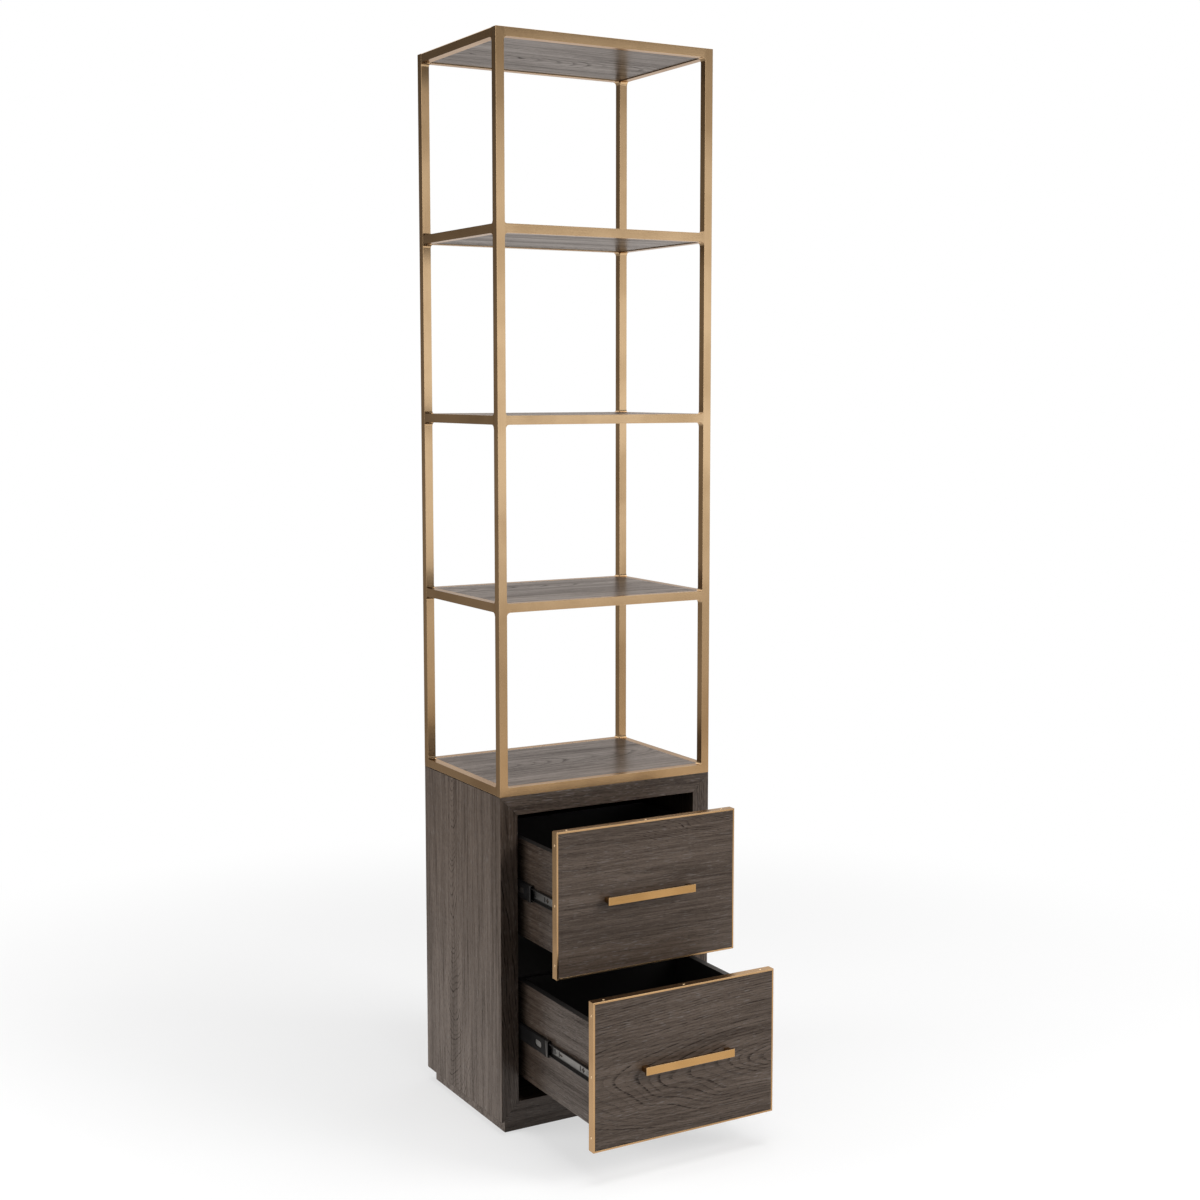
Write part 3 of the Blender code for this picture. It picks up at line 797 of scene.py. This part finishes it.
def extrude_section(drawer, side, outline, front, back, rounding=0.0):
    """Run a section of a slide from front to back, and round its edges."""
    bm = bmesh.new()
    ends = []
    for y in (front, back):
        ends.append([bm.verts.new(slide_point(drawer, side, u, y, w)) for u, w in outline])
        bm.faces.new(ends[-1])
    for index in range(len(outline)):
        bm.faces.new((ends[0][index - 1], ends[0][index], ends[1][index], ends[1][index - 1]))
    bmesh.ops.recalc_face_normals(bm, faces=bm.faces)
    if rounding:
        how = {"segments": ROUNDING_SEGMENTS, "profile": ROUND_PROFILE, "affect": "EDGES"}
        bmesh.ops.bevel(bm, geom=bm.edges, offset=rounding, **how)
    return smooth_mesh(bm, "section")


# %% Stops and cages on the middle channels
CLEARANCE = 0.0003
STOP_PROUD = 0.0008
STOP_FRONT = 0.004
STOP_BACK = 0.009
STOP_ROUNDING = 0.0011
CAGE_STEEL = 0.0003
CAGE_TIP = 0.0090
CAGE_SETBACK = 0.010
CAGE_LENGTH = 0.120
outer_balls = (flange_outside + outer_race) / 2
inner_balls = (flange_inside + inner_race) / 2
stop_back = cabinet_web + CLEARANCE
stop_reach = flange_outside + STOP_PROUD
stop_lip = stop_reach - inner_race - STOP_PROUD
stop_tip = flange_tip + CLEARANCE
stop_web = rail_tip - CLEARANCE - stop_back
stop_outline = c_outline(stop_back, stop_tip, stop_reach, stop_web, stop_lip)


def cage_outline(web, row):
    """A thin C that lies on a channel's web and reaches to a row of balls at each side."""
    back = web + (CAGE_STEEL + CLEARANCE) / 2
    return c_outline(back, CAGE_TIP, row + CAGE_STEEL / 2, CAGE_STEEL, CAGE_STEEL)


def cage_ends(drawer, side):
    """Where a slide's inner and outer cage start and end along Y."""
    low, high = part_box(slide_node(drawer, side, "middle"))
    inner = (low.y + CAGE_SETBACK, low.y + CAGE_SETBACK + CAGE_LENGTH)
    outer = (high.y - CAGE_SETBACK - CAGE_LENGTH, high.y - CAGE_SETBACK)
    return inner, outer


cage_outlines = {
    "inner": cage_outline(middle_web, inner_balls),
    "outer": cage_outline(cabinet_web, outer_balls),
}
for drawer, side in slides:
    body = body_of[slide_node(drawer, side, "middle")]
    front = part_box(slide_node(drawer, side, "middle"))[0].y
    ends = (front - STOP_FRONT, front + STOP_BACK)
    stop = extrude_section(drawer, side, stop_outline, *ends, STOP_ROUNDING)
    add_piece(f"{drawer}_{side}_slide_stop", stop, body, "black_steel", plastic)
    for (kind, outline), ends in zip(cage_outlines.items(), cage_ends(drawer, side)):
        cage = extrude_section(drawer, side, outline, *ends)
        add_piece(f"{drawer}_{side}_{kind}_ball_cage", cage, body, "steel", zinc)
print("stops", len(slides), "cages", len(cage_outlines) * len(slides))

# %% [markdown]
# ## Balls by Geometry Nodes
#
# Copies by hand would be slow to change, so the balls come from a node tree. The script gives it one
# straight edge for each row. The tree turns the edges into curves, sets points along them at an even
# distance and puts a small ball on each point. Realize Instances makes real faces of the copies, because
# an export leaves instances out. The result is kept as a plain mesh, one for each moving body.


# %% Run a node tree once
def new_tree(name, inputs):
    """A Geometry Nodes tree with named inputs, and the wire of each input."""
    tree = bpy.data.node_groups.new(name, "GeometryNodeTree")
    for socket, kind in inputs.items():
        tree.interface.new_socket(name=socket, in_out="INPUT", socket_type="NodeSocket" + kind)
    tree.interface.new_socket(name="Result", in_out="OUTPUT", socket_type="NodeSocketGeometry")
    given = Wire(tree).node("NodeGroupInput")
    return tree, {socket: given.also(socket) for socket in inputs}


def end_tree(copies, finish):
    """Make real faces of the copies, give them their finish and end the tree."""
    real = copies.node("GeometryNodeRealizeInstances", None, {"Geometry": copies})
    done = copies.node("GeometryNodeSetMaterial", None, {"Geometry": real, "Material": finish})
    copies.node("NodeGroupOutput", None, {"Result": done})


def run_tree(tree, mesh, values):
    """Run a tree over a mesh with its inputs set, and keep the plain mesh that it makes."""
    carrier = new_object(tree.name, mesh)
    modifier = carrier.modifiers.new(tree.name, "NODES")
    modifier.node_group = tree
    for socket in tree.interface.items_tree:
        if socket.name in values:
            modifier[socket.identifier] = values[socket.name]
    graph = bpy.context.evaluated_depsgraph_get()
    result = bpy.data.meshes.new_from_object(carrier.evaluated_get(graph))
    bpy.data.objects.remove(carrier, do_unlink=True)
    return result


# %% Rows of balls
BALL_SPACING = 0.008
BALL_SUBDIVISIONS = 2
ball_radius = (outer_race - flange_outside) / 2 - CLEARANCE / 2
ball_u = (middle_web + flange_tip) / 2


def ball_tree():
    """Small balls at an even distance along every edge of a mesh."""
    inputs = {"Rows": "Geometry", "Ball radius": "Float", "Spacing": "Float", "Finish": "Material"}
    tree, given = new_tree("ball_rows", inputs)
    start = Wire(tree)
    rows = start.node("GeometryNodeMeshToCurve", None, {"Mesh": given["Rows"]})
    evenly = {"Curve": rows, "Length": given["Spacing"]}
    spaced = start.node("GeometryNodeResampleCurve", {"mode": "LENGTH"}, evenly)
    sphere = {"Radius": given["Ball radius"], "Subdivisions": BALL_SUBDIVISIONS}
    ball = start.node("GeometryNodeMeshIcoSphere", None, sphere)
    smooth = start.node("GeometryNodeSetShadeSmooth", None, {"Geometry": ball})
    copies = start.node("GeometryNodeInstanceOnPoints", None, {"Points": spaced, "Instance": smooth})
    end_tree(copies, given["Finish"])
    return tree


def ball_rows(drawer):
    """One edge for each row of balls in a drawer's two slides."""
    points = []
    for side in inward:
        for height, ends in zip((inner_balls, outer_balls), cage_ends(drawer, side)):
            for w in (-height, height):
                points += [slide_point(drawer, side, ball_u, y, w) for y in ends]
    edges = [(index, index + 1) for index in range(0, len(points), 2)]
    mesh = bpy.data.meshes.new("ball_rows")
    mesh.from_pydata(points, edges, [])
    return mesh


balls = ball_tree()
for drawer in drawers:
    values = {"Ball radius": ball_radius, "Spacing": BALL_SPACING, "Finish": zinc}
    mesh = run_tree(balls, ball_rows(drawer), values)
    add_piece(drawer + "_slide_balls", mesh, drawer + "_middle_members", "steel")
    print(drawer, "balls have", len(mesh.polygons), "faces")

# %% [markdown]
# ## Screws by Geometry Nodes
#
# Three small domed screws hold each edge strip, and pan heads hold the zinc channels to the drawer
# boxes. One screw head is modelled at a radius of 1: rings of points rise to a dome, and its middle and
# four arms are pushed down into a cross recess. The tree puts it on bare points, turns it to face along
# an attribute of each point, and gives every screw a turn of its own from a fixed seed, as nobody lines
# screws up.


# %% One screw head
HEAD_SEGMENTS = 16
HEAD_RINGS = ((1.00, -0.12), (1.00, 0.06), (0.88, 0.20), (0.62, 0.29), (0.27, 0.33))
RECESS_DEPTH = 0.20
RECESS_ARMS = 4
LARGEST_TURN = math.pi / 2


def screw_head():
    """A domed head with a cross recess, which faces +Z and has a radius of 1."""
    bm = bmesh.new()
    rings = []
    for radius, height in HEAD_RINGS:
        ring = []
        for step in range(HEAD_SEGMENTS):
            angle = math.tau * (step - 0.5) / HEAD_SEGMENTS
            ring.append(bm.verts.new((radius * math.cos(angle), radius * math.sin(angle), height)))
        rings.append(ring)
    bm.faces.new(rings[0])
    recess = [bm.faces.new(rings[-1])]
    for level, (lower, upper) in enumerate(zip(rings, rings[1:])):
        for step in range(HEAD_SEGMENTS):
            after = (step + 1) % HEAD_SEGMENTS
            face = bm.faces.new((lower[step], lower[after], upper[after], upper[step]))
            if level == len(rings) - 2 and step % (HEAD_SEGMENTS // RECESS_ARMS) == 0:
                recess.append(face)
    bmesh.ops.recalc_face_normals(bm, faces=bm.faces)
    sunk = bmesh.ops.extrude_face_region(bm, geom=recess)
    moved = [item for item in sunk["geom"] if isinstance(item, bmesh.types.BMVert)]
    bmesh.ops.delete(bm, geom=[face for face in recess if face.is_valid], context="FACES")
    bmesh.ops.translate(bm, verts=moved, vec=(0, 0, -RECESS_DEPTH))
    bmesh.ops.recalc_face_normals(bm, faces=bm.faces)
    return smooth_mesh(bm, "screw_head")


def screw_tree():
    """A screw head on every point of a mesh, facing along the point's own direction."""
    inputs = {
        "Points": "Geometry",
        "Head": "Object",
        "Head radius": "Float",
        "Seed": "Int",
        "Finish": "Material",
    }
    tree, given = new_tree("screw_heads", inputs)
    start = Wire(tree)
    head = start.node("GeometryNodeObjectInfo", None, {"Object": given["Head"]}, "Geometry")
    settings = {"data_type": "FLOAT_VECTOR"}
    facing = start.node("GeometryNodeInputNamedAttribute", settings, {"Name": "facing"}, "Attribute")
    turned = start.node("FunctionNodeAlignRotationToVector", {"axis": "Z"}, {"Vector": facing})
    turns = {3: LARGEST_TURN, "Seed": given["Seed"]}
    angle = start.node("FunctionNodeRandomValue", {"data_type": "FLOAT"}, turns, 1)
    spin = start.node("FunctionNodeAxisAngleToRotation", None, {"Angle": angle})
    settings = {"rotation_space": "LOCAL"}
    turned = start.node("FunctionNodeRotateRotation", settings, {"Rotation": turned, "Rotate By": spin})
    placed = {
        "Points": given["Points"],
        "Instance": head,
        "Rotation": turned,
        "Scale": given["Head radius"],
    }
    end_tree(start.node("GeometryNodeInstanceOnPoints", None, placed), given["Finish"])
    return tree


# %% Where the screws sit
STRIP_SCREW = 0.0028
STRIP_SCREW_INSET = 0.030
SLIDE_SCREW = 0.0034
SLIDE_SCREW_PLACES = (0.0183, 0.1523, 0.3323)
SCREW_SEED = 5


def strip_screws(drawer):
    """Three screws on the outer face of each edge strip: (point, facing)."""
    places = []
    for name, (across, way, run) in strips.items():
        low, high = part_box(f"{drawer}_strip_{name}")
        middle = (low + high) / 2
        facing = Vector((0, 0, 0))
        facing[across] = way
        for place in (low[run] + STRIP_SCREW_INSET, middle[run], high[run] - STRIP_SCREW_INSET):
            point = middle.copy()
            point[across] = high[across] if way > 0 else low[across]
            point[run] = place
            places.append((point, facing))
    return places


def slide_screws(drawer):
    """Screws in the slots of the two zinc channels: (point, facing)."""
    places = []
    for side in inward:
        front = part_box(slide_node(drawer, side, "drawer"))[0].y
        for behind in SLIDE_SCREW_PLACES:
            point = slide_point(drawer, side, rail_web, front + behind, 0)
            places.append((point, (-inward[side], 0, 0)))
    return places


def screw_points(places):
    """Bare points, each with the direction that its screw faces."""
    mesh = bpy.data.meshes.new("screw_points")
    mesh.from_pydata([point for point, facing in places], [], [])
    layer = mesh.attributes.new("facing", "FLOAT_VECTOR", "POINT")
    layer.data.foreach_set("vector", [value for point, facing in places for value in facing])
    return mesh


# %% Set the screws
head = new_object("screw_head", screw_head())
screws = screw_tree()
for drawer in drawers:
    kinds = (
        ("strip_screws", strip_screws(drawer), STRIP_SCREW, "brass", screw_brass),
        ("slide_screws", slide_screws(drawer), SLIDE_SCREW, "steel", zinc),
    )
    for kind, places, radius, slot, finish in kinds:
        values = {"Head": head, "Head radius": radius, "Seed": SCREW_SEED, "Finish": finish}
        mesh = run_tree(screws, screw_points(places), values)
        add_piece(f"{drawer}_{kind}", mesh, drawer + "_drawer", slot)
        print(drawer, kind, len(places))
bpy.data.objects.remove(head, do_unlink=True)

# %% [markdown]
# ## Studio
#
# The cabinet stands in an empty white room, and the camera sees white everywhere. What the metal sees is
# less even, as in a real studio: warm white walls and a bright ceiling, a white screen at the front
# left, a cool light panel low in front to the right, with a dimmer wall above it, and a dark corner
# behind to the left. The corner gives the brass its deep brown left sides, and the screen the bright
# line on its edges. The panel gives the front of the posts its bright middle, and the ceiling lights the
# tops of the rails. All this is calculated from the direction of a ray, and only reflections see it:
# matt surfaces get a dim, even white.

# %% Room
WHITE = (1.0, 1.0, 1.0, 1.0)
WARM_WHITE = (1.0, 0.925, 0.875, 1.0)
COOL_WHITE = (0.95, 1.0, 1.12, 1.0)
AMBIENT = 0.10
WALL_GLOW = 0.78
CEILING_GLOW = 1.10
CEILING_EDGE = (0.20, 0.65)
FAR_GLOW = 0.73
FAR_WAY = (1.0, 1.0)
FAR_EDGE = (0.85, 1.30)
CORNER_GLOW = 0.28
CORNER_WAY = (-1.0, 1.0)
CORNER_EDGE = (0.55, 1.20)
CORNER_DIM = 0.17
CORNER_TOP = (0.0, 0.22)
SCREEN_GLOW = 1.2
SCREEN_WAY = (-0.86, -0.50)
SCREEN_EDGE = (0.70, 0.98)
SCREEN_TOP = (0.25, 0.60)
PANEL_GLOW = 0.74
PANEL_WAY = (0.50, -0.87)
PANEL_EDGE = (0.72, 0.93)
PANEL_TOP = (0.07, 0.18)
FRONT_EDGE = (0.30, 0.80)
FRONT_DIM = 0.58
FRONT_TOP = (0.10, 0.20)


def towards(side, ahead, way, edge):
    """1 where a direction over the floor points a given way, with a soft edge."""
    return (way[0] * side + way[1] * ahead).step(*edge)


def studio_world():
    """White to the camera, dim to matt surfaces, and a room with its lights in reflections."""
    world = bpy.data.worlds.new("studio")
    world.use_nodes = True
    world.node_tree.nodes.clear()
    bpy.context.scene.world = world
    start = Wire(world.node_tree)
    direction = start.node("ShaderNodeTexCoord", None, None, "Generated")
    side = start.node("ShaderNodeSeparateXYZ", None, {0: direction}, "X")
    ahead = side.also("Y")
    up = side.also("Z")
    ray = start.node("ShaderNodeLightPath", None, None, "Is Camera Ray")
    glossy = ray.also("Is Glossy Ray")
    far_wall = towards(side, ahead, FAR_WAY, FAR_EDGE)
    dark_corner = towards(side, ahead, CORNER_WAY, CORNER_EDGE)
    screen = towards(side, ahead, SCREEN_WAY, SCREEN_EDGE) * (1 - up.step(*SCREEN_TOP))
    panel = towards(side, ahead, PANEL_WAY, PANEL_EDGE) * (1 - up.step(*PANEL_TOP))
    front = towards(side, ahead, PANEL_WAY, FRONT_EDGE)
    above_panel = FRONT_DIM * front * up.step(*FRONT_TOP)
    open_walls = WALL_GLOW + far_wall * (FAR_GLOW - WALL_GLOW) - above_panel
    corner = CORNER_GLOW - CORNER_DIM * up.step(*CORNER_TOP)
    walls = open_walls + dark_corner * (corner - open_walls)
    ceiling = CEILING_GLOW * up.step(*CEILING_EDGE) * (1 - front)
    reflected = walls + ceiling + SCREEN_GLOW * screen + PANEL_GLOW * panel
    seen = AMBIENT + glossy * (reflected - AMBIENT)
    strength = seen + ray * (1 - seen)
    colour = (glossy * panel).mix(glossy.mix(WHITE, WARM_WHITE), COOL_WHITE)
    glow = start.node("ShaderNodeBackground", None, {"Color": colour, "Strength": strength})
    start.node("ShaderNodeOutputWorld", None, {"Surface": glow})


studio_world()
print("room ready")

# %% [markdown]
# ## Floor
#
# The floor is plain white. Near the cabinet it is a mix of a glow and a matt white, which takes a soft
# shadow. Further away it only glows, so that it fades into the room. In reflections it glows all over:
# bright near the cabinet, behind it and below the panel, dimmer in front, and dark towards the corner.

# %% Floor
BLACK = (0.0, 0.0, 0.0, 1.0)
FLOOR_SIZE = 40.0
FLOOR_COLOUR = (0.86, 0.86, 0.86, 1.0)
FLOOR_BOUNCE = (0.35, 0.35, 0.35, 1.0)
FLOOR_GLOW = 0.60
FLOOR_FADE = (1.2, 2.6)
FLOOR_STRENGTH = 1.6
FLOOR_DIM = 0.46
FLOOR_FRONT_EDGE = (2.5, 6.0)
FLOOR_BACK_EDGE = (1.0, 6.0)
FLOOR_PANEL_EDGE = (8.5, 12.5)
FLOOR_CORNER_GLOW = 0.33
FLOOR_CORNER_WAY = (-2.2, 1.0)
FLOOR_CORNER_EDGE = (-0.4, 6.0)


def white_floor():
    """White that takes a shadow near the cabinet and fades into the room further away."""
    material, start = new_material("white_floor")
    place = start.place()
    reach = start.node("ShaderNodeVectorMath", {"operation": "LENGTH"}, {0: place}, "Value")
    side = start.node("ShaderNodeSeparateXYZ", None, {0: place}, "X")
    ahead = side.also("Y")
    ray = start.node("ShaderNodeLightPath", None, None, "Is Camera Ray")
    glossy = ray.also("Is Glossy Ray")
    panel_side = towards(side / reach, ahead / reach, PANEL_WAY, PANEL_EDGE)
    panel = panel_side * reach.step(*FLOOR_PANEL_EDGE)
    behind = FLOOR_DIM * ahead.step(*FLOOR_BACK_EDGE)
    bright = 1.0 - FLOOR_DIM * reach.step(*FLOOR_FRONT_EDGE) + behind + PANEL_GLOW * panel
    dark_corner = towards(side, ahead, FLOOR_CORNER_WAY, FLOOR_CORNER_EDGE)
    mirrored = bright + dark_corner * (FLOOR_CORNER_GLOW - bright)
    tint = (glossy * panel).mix(glossy.mix(WHITE, WARM_WHITE), COOL_WHITE)
    colour = (1 - (1 + glossy * (mirrored - 1)) / FLOOR_STRENGTH).mix(tint, BLACK)
    glow = start.node("ShaderNodeEmission", None, {"Color": colour, "Strength": FLOOR_STRENGTH})
    bounce = ray.also("Is Diffuse Ray").mix(FLOOR_COLOUR, FLOOR_BOUNCE)
    matt = start.node("ShaderNodeBsdfDiffuse", None, {"Color": bounce})
    share = ray * (FLOOR_GLOW + (1 - FLOOR_GLOW) * reach.step(*FLOOR_FADE)) + glossy
    both = start.node("ShaderNodeMixShader", None, {0: share, 1: matt, 2: glow})
    start.node("ShaderNodeOutputMaterial", None, {"Surface": both})
    return material


def studio_floor():
    """A large square under the cabinet, which belongs to the studio."""
    bm = bmesh.new()
    bmesh.ops.create_grid(bm, x_segments=1, y_segments=1, size=FLOOR_SIZE)
    mesh = bpy.data.meshes.new("floor")
    bm.to_mesh(mesh)
    bm.free()
    mesh.materials.append(white_floor())
    floor = new_object("floor", mesh)


studio_floor()
print("floor reaches", FLOOR_SIZE, "m each way")

# %% [markdown]
# ## Lamps
#
# One large soft lamp stands in front to the right, one hangs above, and a weaker one stands behind to
# the left. They light the matt surfaces, and reflections don't see them: there the room stands for them.

# %% Lamps
# Each lamp's name, place, the point that it faces, the length of its sides and its power in watts
LAMPS = (
    ("right_lamp", (2.7, -3.2, 2.6), (0.0, -0.2, 1.1), 2.2, 165.0),
    ("top_lamp", (0.2, -0.6, 5.0), (0.0, -0.1, 0.0), 2.6, 150.0),
    ("left_lamp", (-3.2, 0.9, 1.4), (0.0, 0.0, 0.9), 2.0, 82.0),
)


def soft_lamp(name, place, target, size, power):
    """A square lamp that faces a point."""
    data = bpy.data.lights.new(name, "AREA")
    data.shape = "SQUARE"
    data.size = size
    data.energy = power
    lamp = new_object(name, data)
    lamp.location = place
    lamp.rotation_euler = (Vector(target) - Vector(place)).to_track_quat("-Z", "Y").to_euler()
    lamp.visible_camera = False
    lamp.visible_glossy = False


for lamp in LAMPS:
    soft_lamp(*lamp)
print("lamps", len(LAMPS))

# %% [markdown]
# ## Camera
#
# The place, the turn and the focal length come from matching the posts, rails and drawers of the
# photograph. A very small shift of the lens frames the cabinet as it is there. A larger one would make
# the uprights quite parallel, but would push the cabinet out of the picture in other views.

# %% Camera
FOCAL_PIXELS = 1818.43
FRAME_PIXELS = 1200.0
SENSOR_WIDTH = 36.0
CAMERA_PLACE = (-2.05255, -3.72902, 1.68000)
CAMERA_YAW = 0.52252
CAMERA_PITCH = -0.10676
CAMERA_SHIFT = -0.01500

lens = bpy.data.cameras.new("camera")
lens.sensor_width = SENSOR_WIDTH
lens.lens = FOCAL_PIXELS / FRAME_PIXELS * SENSOR_WIDTH
lens.shift_y = CAMERA_SHIFT
camera = new_object("camera", lens)
camera.location = CAMERA_PLACE
camera.rotation_euler = (math.pi / 2 + CAMERA_PITCH, 0.0, -CAMERA_YAW)
bpy.context.scene.camera = camera
bpy.context.scene.view_settings.view_transform = "Standard"
print("camera lens", round(lens.lens, 2), "mm")
